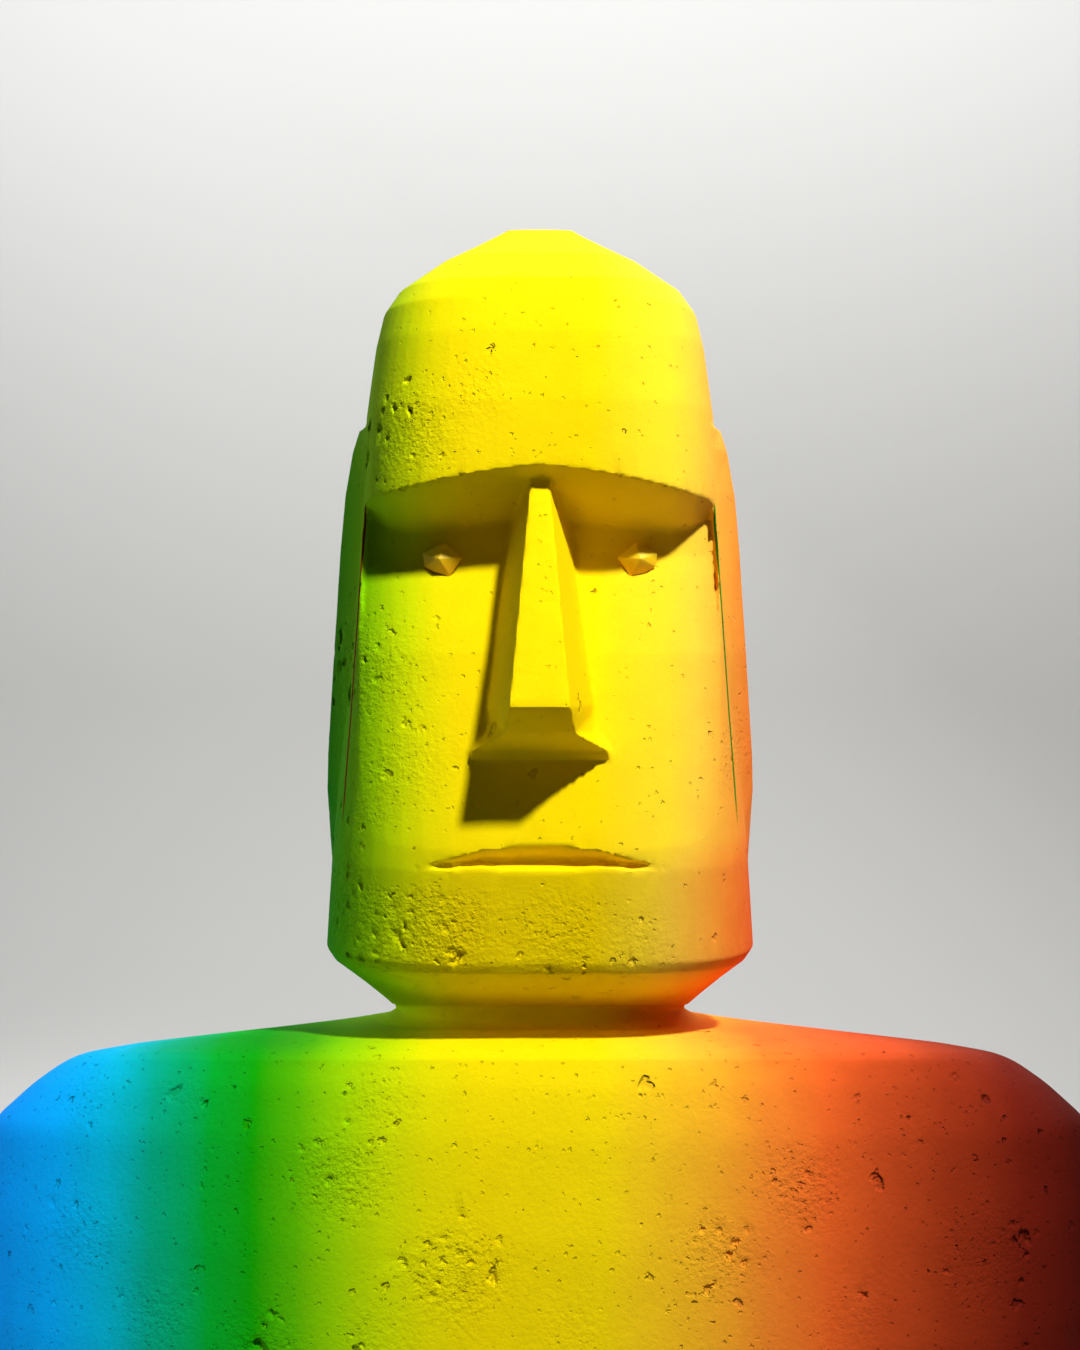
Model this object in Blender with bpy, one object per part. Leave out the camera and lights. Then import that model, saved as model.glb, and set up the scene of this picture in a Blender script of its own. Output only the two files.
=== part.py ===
"""Moai: a stone figure carved with its low base, and the two faceted stones set in its eye sockets.

Metres, +Z up. The figure looks along -Y and stands on its underside at Z = 0.
Each form is a stack of rings: heights, widths and depths are shares of the sizes named below.
"""

import math
from typing import NamedTuple

import bmesh
import bpy
from mathutils import Vector

# Overall sizes. Base, body, neck and head stand on one another, 4 m in all.
BASE_HEIGHT = 0.16
BODY_HEIGHT = 2.126
NECK_HEIGHT = 0.144
HEAD_HEIGHT = 1.57
SHOULDER_WIDTH = 2.26
BODY_FRONT = 0.54
BODY_BACK = 0.52
HEAD_WIDTH = 0.846
HEAD_FRONT = 0.50
HEAD_BACK = 0.42

# Base
BASE_STEP = 0.045
BASE_CHAMFER = 0.02

# Face. Levels are shares of the head's height above the chin, spans are shares of its half width.
BROW_LEVEL_SHARE = 0.66
BROW_SPAN_SHARE = 0.7825
BROW_DROP = 0.064
BROW_CURVE = 1.35
BROW_FRONT_SHARE = 0.935
SOFFIT_SLOPE = 0.59
RECESS_DEPTH_SHARE = 0.35
CHEEK_LEVEL_SHARE = 0.1975
CHEEK_SPAN_SHARE = 0.889

# Nose. The projection is measured from the face behind the tip.
NOSE_ROOT_LEVEL_SHARE = 0.656
NOSE_TIP_LEVEL_SHARE = 0.378
NOSE_WING_LEVEL_SHARE = 0.318
NOSE_PROJECTION = 0.1965
NOSE_ROOT_PROJECTION = 0.110
NOSE_ROOT_HALF_WIDTH = 0.016
NOSE_TIP_HALF_WIDTH = 0.054
NOSE_WING_HALF_WIDTH = 0.127

# Mouth
MOUTH_LEVEL_SHARE = 0.1975
MOUTH_SPAN_SHARE = 0.5485
MOUTH_CORNER_DROP = 0.012
MOUTH_DEPTH = 0.052
UPPER_LIP_RISE = 0.036
LOWER_LIP_DROP = 0.012

# Ears. Their length is a share of the head's height, their edges are shares of its depths.
EAR_TOP_LEVEL_SHARE = 0.7185
EAR_LENGTH_SHARE = 0.545
EAR_PROUD = 0.027
EAR_FRONT_SHARE = 0.43
EAR_BACK_SHARE = 0.167
EAR_GROOVE_DEPTH = 0.016
EAR_RIM = 0.045
EAR_ROOT_SHARE = 0.60
EAR_FRONT_SLOPE = 0.085
EAR_BACK_SLOPE = 0.035
EAR_LOBE_START = 0.55
EAR_LOBE_NARROWING = 0.30

# Arms and hands, carved low on the body. Levels are shares of the shoulder height.
ARM_RELIEF = 0.045
ARM_TOP_LEVEL_SHARE = 0.866
ELBOW_LEVEL_SHARE = 0.446
WRIST_LEVEL_SHARE = 0.3675
ELBOW_SPAN_SHARE = 0.90
WRIST_SPAN_SHARE = 0.354
UPPER_ARM_RADIUS = 0.17
ELBOW_RADIUS = 0.130
WRIST_RADIUS = 0.085
FINGER_LENGTH = 0.30
FINGER_RADIUS = 0.019
FINGER_PITCH = 0.043
FINGER_COUNT = 4

# Eye stones
EYE_STONE_WIDTH = 0.076
EYE_SPAN_SHARE = 0.435
EYE_LEVEL_SHARE = 0.554
EYE_PROUD = 0.034
EYE_CLEARANCE = 0.0006

# Facets
RING_POINTS = 56
BROW_POINTS = 16
CAPSULE_ARC_POINTS = 9
SHARP_ANGLE = 28
REACH = 0.4

SHOULDER_HEIGHT = BASE_HEIGHT + BODY_HEIGHT
CHIN_HEIGHT = SHOULDER_HEIGHT + NECK_HEIGHT
HEAD_SQUARENESS = 3.8


class Ring(NamedTuple):
    """One level of a form, as shares of its height, half width, front depth and back depth."""

    height: float
    width: float
    front: float
    back: float
    squareness: float
    tilt: float = 0.0


# The head, from inside the neck to the crown. The tilt is how far a ring falls for each metre backwards.
HEAD_RINGS = (
    Ring(-0.020, 0.712, 0.62, 0.94, 3.0, 0.17),
    Ring(0.061, 0.965, 0.945, 0.96, 3.7, 0.02),
    Ring(0.080, 1.000, 0.964, 0.93, HEAD_SQUARENESS),
    Ring(0.190, 0.972, 0.998, 0.97, HEAD_SQUARENESS),
    Ring(0.208, 0.967, 0.993, 0.98, HEAD_SQUARENESS),
    Ring(0.365, 0.912, 0.965, 1.00, HEAD_SQUARENESS),
    Ring(0.630, 0.840, 0.940, 1.00, HEAD_SQUARENESS),
    Ring(0.735, 0.816, 0.900, 0.98, HEAD_SQUARENESS),
    Ring(0.820, 0.776, 0.840, 0.95, HEAD_SQUARENESS),
    Ring(0.862, 0.742, 0.790, 0.92, HEAD_SQUARENESS),
    Ring(0.890, 0.680, 0.730, 0.89, 3.6),
    Ring(0.936, 0.492, 0.500, 0.80, 3.2),
    Ring(1.000, 0.158, 0.020, 0.55, 2.8),
)

# The recessed face, from below the mouth to above the brow.
FACE_RINGS = (
    Ring(0.120, 1.060, 1.060, 0.5, HEAD_SQUARENESS),
    Ring(0.208, 0.972, 0.996, 0.5, HEAD_SQUARENESS),
    Ring(0.300, 0.955, 0.912, 0.5, 4.4),
    Ring(0.440, 0.935, 0.795, 0.5, 5.2),
    Ring(0.560, 0.920, 0.648, 0.5, 6.0),
    Ring(0.760, 0.900, 0.575, 0.5, 6.0),
)

# The body, from the top of the base to the shoulders.
BODY_RINGS = (
    Ring(0.000, 0.930, 0.925, 0.93, 3.4),
    Ring(0.130, 0.925, 0.940, 0.95, 3.4),
    Ring(0.330, 0.940, 0.975, 0.97, 3.3),
    Ring(0.520, 0.965, 0.985, 0.98, 3.2),
    Ring(0.680, 0.985, 0.995, 1.00, 3.1),
    Ring(0.800, 0.998, 1.000, 1.00, 3.0, 0.02),
    Ring(0.880, 1.000, 0.985, 0.99, 2.9, 0.06),
    Ring(0.950, 0.975, 0.945, 0.97, 2.8, 0.13),
    Ring(0.981, 0.905, 0.905, 0.94, 2.7, 0.18),
    Ring(1.000, 0.852, 0.865, 0.91, 2.6, 0.205),
)

# The neck, from the shoulders to inside the head, as shares of its own height and of the body's width.
NECK_RINGS = (
    Ring(0.118, 0.815, 0.835, 0.895, 2.6, 0.20),
    Ring(0.266, 0.716, 0.780, 0.87, 2.5, 0.185),
    Ring(0.517, 0.426, 0.640, 0.82, 2.5, 0.15),
    Ring(0.605, 0.292, 0.570, 0.80, 2.6, 0.10),
    Ring(0.768, 0.250, 0.530, 0.78, 2.8, 0.06),
    Ring(1.476, 0.235, 0.480, 0.755, 3.0),
)

# The arms' relief at each of the body's first rings: it sinks into the shoulder at the top.
ARM_RELIEF_SHARES = (1.0, 1.0, 1.0, 1.0, 1.0, 0.57, 0.22, -0.09)

# Half of the mouth from its middle: place along it, height of the upper lip, depth.
MOUTH_STATIONS = ((0.17, 1.0, 1.0), (0.45, 0.66, 0.92), (0.80, 0.25, 0.55), (1.0, 0.03, 0.10))

# The ear from its top: place along it and how far it stands proud.
EAR_STATIONS = (
    (0.0, 0.25),
    (0.05, 0.66),
    (0.15, 1.0),
    (0.28, 1.06),
    (0.50, 1.0),
    (0.74, 0.94),
    (0.82, 0.80),
    (0.92, 0.34),
    (1.0, 0.02),
)

# The eye stone's rim, as shares of its width, seen from the front.
EYE_STONE_RIM = ((-0.50, 0.025), (-0.05, 0.40), (0.50, 0.125), (0.45, -0.20), (0.20, -0.35), (-0.18, -0.45))


def clear_scene() -> None:
    """Remove whatever the file already holds."""
    for obj in list(bpy.data.objects):
        bpy.data.objects.remove(obj, do_unlink=True)


def stone(name: str, colour: tuple[float, float, float], roughness: float) -> bpy.types.Material:
    """A dull stone in one colour."""
    material = bpy.data.materials.new(name)
    material.use_nodes = True
    shader = material.node_tree.nodes["Principled BSDF"]
    shader.inputs["Base Color"].default_value = (*colour, 1.0)
    shader.inputs["Roughness"].default_value = roughness
    shader.inputs["Metallic"].default_value = 0.0
    material.diffuse_color = (*colour, 1.0)
    return material


def make_object(name: str, mesh_builder: bmesh.types.BMesh, material: bpy.types.Material) -> bpy.types.Object:
    """Turn a closed bmesh into an object whose round parts are shaded smooth."""
    bmesh.ops.recalc_face_normals(mesh_builder, faces=mesh_builder.faces)
    mesh = bpy.data.meshes.new(name)
    mesh_builder.to_mesh(mesh)
    mesh_builder.free()
    mesh.materials.append(material)
    mesh.shade_smooth()
    mesh.set_sharp_from_angle(angle=math.radians(SHARP_ANGLE))
    obj = bpy.data.objects.new(name, mesh)
    bpy.context.scene.collection.objects.link(obj)
    return obj


def hide_tool(obj: bpy.types.Object) -> bpy.types.Object:
    """Mark an object as a shape that only adds to or cuts another."""
    obj.hide_render = True
    obj.display_type = "WIRE"
    return obj


def join(target: bpy.types.Object, tool: bpy.types.Object, operation: str) -> None:
    """Add, cut or keep the common part with another shape, by an exact Boolean."""
    modifier = target.modifiers.new(f"{operation.lower()} {tool.name}", "BOOLEAN")
    modifier.operation = operation
    modifier.solver = "EXACT"
    modifier.object = hide_tool(tool)


def add_stack(mesh_builder: bmesh.types.BMesh, loops: list[list[Vector]]) -> None:
    """Skin a stack of loops of equal length with triangles and close both ends."""
    rows = [[mesh_builder.verts.new(point) for point in loop] for loop in loops]
    count = len(rows[0])
    sides = []
    for lower, upper in zip(rows, rows[1:]):
        for index in range(count):
            after = (index + 1) % count
            sides.append(mesh_builder.faces.new((lower[index], lower[after], upper[after], upper[index])))
    bmesh.ops.triangulate(mesh_builder, faces=sides, quad_method="SHORT_EDGE")
    mesh_builder.faces.new(rows[0][::-1])
    mesh_builder.faces.new(rows[-1])


def stack(name: str, loops: list[list[Vector]], material: bpy.types.Material) -> bpy.types.Object:
    """One closed shape from a stack of loops."""
    mesh_builder = bmesh.new()
    add_stack(mesh_builder, loops)
    return make_object(name, mesh_builder, material)


def mirrored_stacks(
    name: str, stacks: list[list[list[Vector]]], material: bpy.types.Material
) -> bpy.types.Object:
    """Several separate shapes and their mirror images across X = 0, in one object."""
    mesh_builder = bmesh.new()
    for loops in stacks:
        add_stack(mesh_builder, loops)
        add_stack(mesh_builder, [[Vector((-p.x, p.y, p.z)) for p in loop] for loop in loops])
    return make_object(name, mesh_builder, material)


def rounded_loop(half_width: float, front: float, back: float, squareness: float) -> list[Vector]:
    """A squarish oval at Z = 0, its front towards -Y."""
    loop = []
    for index in range(RING_POINTS):
        angle = 2 * math.pi * (index + 0.5) / RING_POINTS
        across, along = math.cos(angle), math.sin(angle)
        x = half_width * math.copysign(abs(across) ** (2 / squareness), across)
        depth = back if along > 0 else front
        y = depth * math.copysign(abs(along) ** (2 / squareness), along)
        loop.append(Vector((x, y, 0.0)))
    return loop


def ring_loop(
    ring: Ring, foot: float, height: float, half_width: float, front: float, back: float
) -> list[Vector]:
    """One ring at its real size and level, tilted down towards the back."""
    loop = rounded_loop(ring.width * half_width, ring.front * front, ring.back * back, ring.squareness)
    level = foot + ring.height * height
    return [Vector((point.x, point.y, level - ring.tilt * point.y)) for point in loop]


def head_level(share: float) -> float:
    """The height of a level on the head."""
    return CHIN_HEIGHT + share * HEAD_HEIGHT


def head_loops(rings: tuple[Ring, ...]) -> list[list[Vector]]:
    """Loops of the head or of its face."""
    return [ring_loop(ring, CHIN_HEIGHT, HEAD_HEIGHT, HEAD_WIDTH / 2, HEAD_FRONT, HEAD_BACK) for ring in rings]


def body_loops() -> list[list[Vector]]:
    """Loops of the body and the neck."""
    half_width = SHOULDER_WIDTH / 2
    loops = []
    for rings, foot, height in ((BODY_RINGS, BASE_HEIGHT, BODY_HEIGHT), (NECK_RINGS, SHOULDER_HEIGHT, NECK_HEIGHT)):
        loops += [ring_loop(ring, foot, height, half_width, BODY_FRONT, BODY_BACK) for ring in rings]
    return loops


def arm_shell_loops() -> list[list[Vector]]:
    """The body's own surface, pushed out as far as the arms stand proud of it."""
    loops = []
    for ring, share in zip(BODY_RINGS, ARM_RELIEF_SHARES):
        out = ARM_RELIEF * share
        half_width = SHOULDER_WIDTH / 2 + out
        loops.append(ring_loop(ring, BASE_HEIGHT, BODY_HEIGHT, half_width, BODY_FRONT + out, BODY_BACK + out))
    return loops


def base_loops() -> list[list[Vector]]:
    """The low base: the body's foot outline stepped out all round, its top edge chamfered."""
    foot = BODY_RINGS[0]
    outer = BASE_STEP
    inner = BASE_STEP - BASE_CHAMFER

    def outline(step: float, level: float) -> list[Vector]:
        half_width = foot.width * SHOULDER_WIDTH / 2 + step
        front = foot.front * BODY_FRONT + step
        back = foot.back * BODY_BACK + step
        flat = rounded_loop(half_width, front, back, foot.squareness)
        return [point + Vector((0, 0, level)) for point in flat]

    sunk = BASE_HEIGHT + BASE_CHAMFER / 2
    return [
        outline(outer, 0.0),
        outline(outer, BASE_HEIGHT - BASE_CHAMFER),
        outline(inner, BASE_HEIGHT),
        outline(-inner, sunk),
    ]


def read_rings(rings: tuple[Ring, ...], level: float, field: str) -> float:
    """A share of the head's rings at any level, read between the two rings next to it."""
    share = (level - CHIN_HEIGHT) / HEAD_HEIGHT
    share = min(max(share, rings[0].height), rings[-1].height)
    for lower, upper in zip(rings, rings[1:]):
        if share <= upper.height:
            part = (share - lower.height) / (upper.height - lower.height)
            return getattr(lower, field) * (1 - part) + getattr(upper, field) * part
    return getattr(rings[-1], field)


def head_half_width(level: float) -> float:
    """Half the head's width at a level."""
    return read_rings(HEAD_RINGS, level, "width") * HEAD_WIDTH / 2


def face_depth(level: float) -> float:
    """How far the recessed face stands in front of Y = 0 at its middle."""
    return read_rings(FACE_RINGS, level, "front") * HEAD_FRONT


def round_off(x: float, level: float, squareness: float) -> float:
    """What is left of a depth away from the middle, by the oval of the head's rings."""
    share = min(abs(x) / head_half_width(level), 0.99)
    return (1 - share**squareness) ** (1 / squareness)


def brow_height(x: float) -> float:
    """Height of the brow's lower front edge: highest in the middle, lower towards the temples."""
    half_span = BROW_SPAN_SHARE * HEAD_WIDTH / 2
    return head_level(BROW_LEVEL_SHARE) - BROW_DROP * (abs(x) / half_span) ** BROW_CURVE


def brow_depth(x: float) -> float:
    """How far the brow's edge stands in front of Y = 0: it follows the head's rounded front."""
    return HEAD_FRONT * BROW_FRONT_SHARE * round_off(x, brow_height(x), HEAD_SQUARENESS)


def recess_loops() -> list[list[Vector]]:
    """The opening cut from the front: an arched top whose soffit falls backwards, and spreading sides."""
    brow_half_span = BROW_SPAN_SHARE * HEAD_WIDTH / 2
    cheek_half_span = CHEEK_SPAN_SHARE * HEAD_WIDTH / 2
    cheek_height = head_level(CHEEK_LEVEL_SHARE)
    edge = [brow_half_span * (0.5 - step / BROW_POINTS) * 2 for step in range(BROW_POINTS + 1)]
    loops = []
    for depth in (HEAD_FRONT + REACH, HEAD_FRONT * RECESS_DEPTH_SHARE):
        loop = []
        for x in edge:
            rise = SOFFIT_SLOPE * (depth - brow_depth(x))
            loop.append(Vector((x, -depth, brow_height(x) + rise)))
        loop.append(Vector((-cheek_half_span, -depth, cheek_height)))
        loop.append(Vector((cheek_half_span, -depth, cheek_height)))
        loops.append(loop)
    return loops


def carve_face(head: bpy.types.Object, material: bpy.types.Material) -> None:
    """Cut the face back under the brow, down to a slope that meets the mouth flush."""
    recess = stack("face_recess", recess_loops(), material)
    face = stack("face_slope", head_loops(FACE_RINGS), material)
    join(recess, face, "DIFFERENCE")
    join(head, recess, "DIFFERENCE")


def nose_loops() -> list[list[Vector]]:
    """The nose from root to wings: a straight wedge, an underside cut back in two facets, flared wings."""
    sunk = NOSE_PROJECTION * 0.3
    root = head_level(NOSE_ROOT_LEVEL_SHARE)
    tip = head_level(NOSE_TIP_LEVEL_SHARE)
    wing = head_level(NOSE_WING_LEVEL_SHARE)
    under = (tip + wing) / 2
    wing_top = wing + 0.12 * (tip - wing)
    tip_depth = face_depth(tip) + NOSE_PROJECTION
    root_depth = face_depth(root) + NOSE_ROOT_PROJECTION
    wide = NOSE_WING_HALF_WIDTH
    sections = (
        (root, NOSE_ROOT_HALF_WIDTH, root_depth, NOSE_ROOT_HALF_WIDTH * 3.2),
        (tip, NOSE_TIP_HALF_WIDTH, tip_depth, wide * 0.90),
        (under, NOSE_TIP_HALF_WIDTH * 1.18, tip_depth - NOSE_PROJECTION / 3, wide * 0.95),
        (wing_top, wide, face_depth(wing_top) + NOSE_PROJECTION * 0.10, wide * 1.03),
        (wing, wide, face_depth(wing) + NOSE_PROJECTION * 0.06, wide),
    )
    loops = []
    for level, front_half, depth, face_half in sections:
        back = face_depth(level) - sunk
        loops.append(
            [
                Vector((-front_half, -depth, level)),
                Vector((front_half, -depth, level)),
                Vector((face_half, -back, level)),
                Vector((-face_half, -back, level)),
            ]
        )
    return loops


def hull(name: str, points: list[Vector], material: bpy.types.Material) -> bpy.types.Object:
    """The faceted solid round a few corner points."""
    mesh_builder = bmesh.new()
    corners = [mesh_builder.verts.new(point) for point in points]
    result = bmesh.ops.convex_hull(mesh_builder, input=corners)
    spare = result["geom_interior"] + result["geom_unused"]
    loose = {item for item in spare if isinstance(item, bmesh.types.BMVert)}
    if loose:
        bmesh.ops.delete(mesh_builder, geom=list(loose), context="VERTS")
    return make_object(name, mesh_builder, material)


def mouth_section(station: float, rise: float, depth_share: float) -> list[Vector]:
    """One section of the mouth's notch: open in front, a narrow slit at its bottom."""
    clear = MOUTH_DEPTH * 0.4
    slit_half = LOWER_LIP_DROP * 0.1
    x = station * MOUTH_SPAN_SHARE * HEAD_WIDTH / 2
    level = head_level(MOUTH_LEVEL_SHARE)
    surface = HEAD_FRONT * round_off(x, level, HEAD_SQUARENESS)
    level -= MOUTH_CORNER_DROP * max(0.0, abs(station) - 0.45) / 0.55
    depth = MOUTH_DEPTH * max(depth_share, 0.12)
    grow = (depth + clear) / depth
    upper = UPPER_LIP_RISE * rise + slit_half
    lower = LOWER_LIP_DROP * max(rise, 0.12)
    front, bottom = -(surface + clear), -(surface - depth)
    return [
        Vector((x, front, level + upper * grow)),
        Vector((x, bottom, level + slit_half)),
        Vector((x, bottom, level - slit_half)),
        Vector((x, front, level - lower * grow)),
    ]


def mouth_loops() -> list[list[Vector]]:
    """The mouth: a notch that is deepest in the middle and runs out at its corners."""
    left = [mouth_section(-station, rise, depth) for station, rise, depth in reversed(MOUTH_STATIONS)]
    right = [mouth_section(station, rise, depth) for station, rise, depth in MOUTH_STATIONS]
    return left + right


def ear_section(share: float, proud_share: float, groove: bool) -> list[Vector]:
    """One level of an ear on the +X side, or of the groove that is cut in it."""
    level = head_level(EAR_TOP_LEVEL_SHARE) - EAR_LENGTH_SHARE * HEAD_HEIGHT * share
    side = head_half_width(level)
    outer = side + EAR_PROUD * proud_share
    lobe = max(0.0, share - EAR_LOBE_START) / (1 - EAR_LOBE_START)
    narrowing = 1 - EAR_LOBE_NARROWING * lobe
    front = -EAR_FRONT_SHARE * HEAD_FRONT * narrowing
    back = EAR_BACK_SHARE * HEAD_BACK * narrowing
    if groove:
        inner = outer - EAR_GROOVE_DEPTH
        groove_front, groove_back = front + EAR_RIM, back - EAR_RIM
        points = [
            (inner, groove_front),
            (outer + REACH, groove_front),
            (outer + REACH, groove_back),
            (inner, groove_back),
        ]
    else:
        root = side * EAR_ROOT_SHARE
        points = [
            (root, front - EAR_FRONT_SLOPE * 0.7),
            (side - EAR_PROUD * 0.7, front - EAR_FRONT_SLOPE),
            (outer, front),
            (outer, back),
            (side - EAR_PROUD * 1.5, back + EAR_BACK_SLOPE),
            (root, back + EAR_BACK_SLOPE * 0.6),
        ]
    return [Vector((x, y, level)) for x, y in points]


def ear_loops() -> list[list[Vector]]:
    """An ear on the +X side: a long strip with a flat top and a narrowing lobe."""
    return [ear_section(share, proud_share, groove=False) for share, proud_share in EAR_STATIONS]


def groove_loops() -> list[list[Vector]]:
    """The groove down the ear's middle, clear of its top and its lobe."""
    return [ear_section(share, proud_share, groove=True) for share, proud_share in EAR_STATIONS[1:-2]]


def capsule_outline(start: Vector, end: Vector, start_radius: float, end_radius: float) -> list[Vector]:
    """A long round-ended outline in a plane, as 2D points."""
    axis = (end - start).normalized()
    normal = Vector((-axis.y, axis.x))
    points = []
    for centre, radius, turn in ((end, end_radius, -1.0), (start, start_radius, 1.0)):
        for step in range(CAPSULE_ARC_POINTS):
            angle = math.pi * step / (CAPSULE_ARC_POINTS - 1) - math.pi / 2
            outward = -turn * math.cos(angle)
            sideways = -turn * math.sin(angle)
            points.append(centre + axis * (outward * radius) + normal * (sideways * radius))
    return points


def prism_along_y(outline: list[Vector], front: float, back: float) -> list[list[Vector]]:
    """An outline in X and Z pushed through along Y."""
    return [[Vector((point.x, y, point.y)) for point in outline] for y in (front, back)]


def prism_along_x(outline: list[Vector], inner: float, outer: float) -> list[list[Vector]]:
    """An outline in Y and Z pushed through along X."""
    return [[Vector((x, point.x, point.y)) for point in outline] for x in (inner, outer)]


def finger_outlines(wrist: Vector) -> list[list[Vector]]:
    """The fingers side by side, the middle ones longest."""
    outlines = []
    for index in range(FINGER_COUNT):
        lift = (index - (FINGER_COUNT - 1) / 2) * FINGER_PITCH
        knuckle = wrist + Vector((-FINGER_RADIUS, lift))
        tip = wrist + Vector((abs(lift) * 0.4 - FINGER_LENGTH - WRIST_RADIUS * 0.6, lift - FINGER_LENGTH * 0.1))
        outlines.append(capsule_outline(knuckle, tip, FINGER_RADIUS, FINGER_RADIUS * 0.8))
    return outlines


def arm_shell(material: bpy.types.Material) -> bpy.types.Object:
    """Arms, hands and fingers: the body's own surface, raised where their outlines lie."""
    shell = stack("arm_shell", arm_shell_loops(), material)
    half_width = SHOULDER_WIDTH / 2
    elbow_height = ELBOW_LEVEL_SHARE * SHOULDER_HEIGHT
    arm_top = Vector((BODY_BACK * 0.06, ARM_TOP_LEVEL_SHARE * SHOULDER_HEIGHT))
    elbow = Vector((ELBOW_SPAN_SHARE * half_width, elbow_height))
    wrist = Vector((WRIST_SPAN_SHARE * half_width, WRIST_LEVEL_SHARE * SHOULDER_HEIGHT))

    upper = capsule_outline(arm_top, Vector((0.0, elbow_height)), UPPER_ARM_RADIUS, ELBOW_RADIUS)
    fore = capsule_outline(elbow, wrist, ELBOW_RADIUS, WRIST_RADIUS)
    thumb_root = wrist + Vector((WRIST_RADIUS * 0.35, WRIST_RADIUS * 0.5))
    thumb_tip = wrist + Vector((-WRIST_RADIUS * 0.95, WRIST_RADIUS * 2.15))
    thumb = capsule_outline(thumb_root, thumb_tip, FINGER_RADIUS * 1.4, FINGER_RADIUS)

    front = -(BODY_FRONT + REACH)
    depth = -BODY_FRONT * 0.4
    upper_arm = prism_along_x(upper, half_width * 0.6, half_width + REACH)
    outlines = mirrored_stacks("upper_arms", [upper_arm], material)
    forearms = mirrored_stacks("forearms", [prism_along_y(fore, front, BODY_BACK * 0.04)], material)
    fingers = [prism_along_y(outline, front, depth) for outline in finger_outlines(wrist)]
    finger_set = mirrored_stacks("fingers", fingers, material)
    thumbs = mirrored_stacks("thumbs", [prism_along_y(thumb, front, depth)], material)
    for tool in (forearms, finger_set, thumbs):
        join(outlines, tool, "UNION")
    join(shell, outlines, "INTERSECT")
    return shell


def eye_stone_points(side: int, centre: Vector, growth: float) -> list[Vector]:
    """Corners of an eye stone: a rim, one point in front and a smaller facet set into the socket."""
    width = EYE_STONE_WIDTH
    points = [Vector((side * x * width, 0.0, z * width)) for x, z in EYE_STONE_RIM]
    points += [Vector((side * x * width * 0.6, width * 0.45, z * width * 0.6)) for x, z in EYE_STONE_RIM]
    points.append(Vector((side * 0.07 * width, -EYE_PROUD * 0.75, -0.02 * width)))
    return [centre + point * growth for point in points]


def eye_centre(side: int) -> Vector:
    """The middle of an eye stone's rim, just proud of the face."""
    x = EYE_SPAN_SHARE * HEAD_WIDTH / 2
    level = head_level(EYE_LEVEL_SHARE)
    depth = face_depth(level) * round_off(x, level, FACE_RINGS[-1].squareness) + EYE_PROUD * 0.25
    return Vector((side * x, -depth, level))


def build_statue(material: bpy.types.Material) -> bpy.types.Object:
    """The whole figure as one stone."""
    statue = stack("statue", head_loops(HEAD_RINGS), material)
    join(statue, mirrored_stacks("ears", [ear_loops()], material), "UNION")
    join(statue, mirrored_stacks("ear_grooves", [groove_loops()], material), "DIFFERENCE")
    carve_face(statue, material)
    join(statue, stack("nose", nose_loops(), material), "UNION")
    join(statue, stack("mouth", mouth_loops(), material), "DIFFERENCE")
    growth = 1 + EYE_CLEARANCE / (EYE_STONE_WIDTH * 0.2)
    for side, name in ((1, "socket_left"), (-1, "socket_right")):
        socket = hull(name, eye_stone_points(side, eye_centre(side), growth), material)
        join(statue, socket, "DIFFERENCE")
    join(statue, stack("body", body_loops(), material), "UNION")
    join(statue, arm_shell(material), "UNION")
    join(statue, stack("base", base_loops(), material), "UNION")
    return statue


def build_eye_stones(material: bpy.types.Material) -> None:
    """The two stones that sit in the sockets. The figure's own left is on the +X side."""
    for side, name in ((1, "eye_stone_left"), (-1, "eye_stone_right")):
        hull(name, eye_stone_points(side, eye_centre(side), 1.0), material)


clear_scene()
build_statue(stone("washed tuff", (0.90, 0.72, 0.02), 0.85))
build_eye_stones(stone("eye stone", (0.92, 0.60, 0.04), 0.6))
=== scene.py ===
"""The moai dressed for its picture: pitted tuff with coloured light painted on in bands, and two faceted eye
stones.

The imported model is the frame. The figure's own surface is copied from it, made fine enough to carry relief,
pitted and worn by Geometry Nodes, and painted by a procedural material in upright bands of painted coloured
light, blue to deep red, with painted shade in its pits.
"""

import logging
import math
from dataclasses import dataclass, field
from enum import Enum

import bmesh
import bpy
import numpy as np
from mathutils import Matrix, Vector


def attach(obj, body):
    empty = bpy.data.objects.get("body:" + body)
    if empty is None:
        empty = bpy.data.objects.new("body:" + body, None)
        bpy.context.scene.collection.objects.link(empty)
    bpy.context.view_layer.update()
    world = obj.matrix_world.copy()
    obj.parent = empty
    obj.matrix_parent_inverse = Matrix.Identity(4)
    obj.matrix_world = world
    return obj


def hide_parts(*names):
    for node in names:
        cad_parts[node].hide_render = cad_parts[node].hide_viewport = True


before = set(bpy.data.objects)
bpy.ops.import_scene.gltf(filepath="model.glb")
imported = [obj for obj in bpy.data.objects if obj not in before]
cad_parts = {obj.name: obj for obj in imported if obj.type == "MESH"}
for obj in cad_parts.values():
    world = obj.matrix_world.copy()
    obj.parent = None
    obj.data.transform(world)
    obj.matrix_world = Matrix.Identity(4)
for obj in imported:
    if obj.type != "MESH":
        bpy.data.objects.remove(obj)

LOG = logging.getLogger("moai")
PICTURE_HEIGHT = 1350
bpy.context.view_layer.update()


class Side(Enum):
    """The figure's own two sides, and which way each lies along X."""

    LEFT = 1
    RIGHT = -1


class Tree(Enum):
    """The kinds of node tree that this script builds."""

    SHADER = "ShaderNodeTree"
    GEOMETRY = "GeometryNodeTree"


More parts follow.
